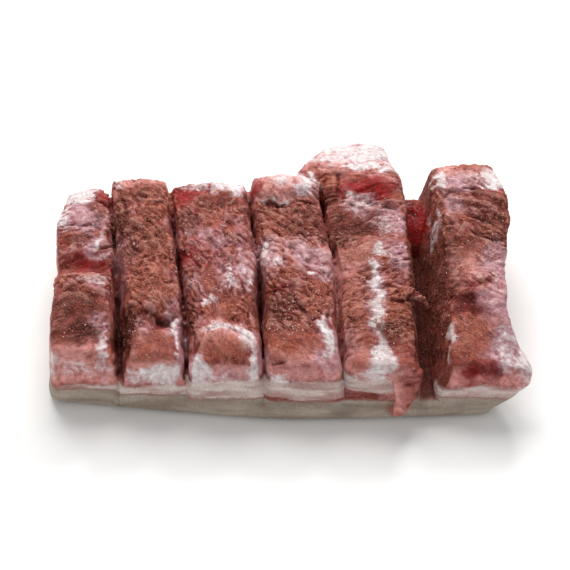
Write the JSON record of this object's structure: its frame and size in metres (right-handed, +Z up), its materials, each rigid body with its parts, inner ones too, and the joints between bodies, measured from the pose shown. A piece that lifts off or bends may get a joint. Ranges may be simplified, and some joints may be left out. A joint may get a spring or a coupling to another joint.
{
  "type": "pork belly slab",
  "caption": "Raw pork belly slab lying flat on its rind, scored deep from the meat side into thick strips and dusted with a brown spice rub.",
  "frame": {"origin": "on the flat underside of the rind, near the middle of the slab", "axes": "+X along the slab from the first strip to the last, +Y from its front edge to its back edge, +Z up"},
  "size_m": [0.2331, 0.1711, 0.048],
  "materials": {
    "raw_pork": "moist raw meat and white fat, glossy where it is wet, on a dull grey-beige rind",
    "spice_rub": "dry red-brown powder in clumps, matte",
    "salt": "small pale salt grains and wet specks, shiny"
  },
  "bodies": {
    "root": {"pork_belly_slab": "raw_pork"}
  },
  "joints": []
}
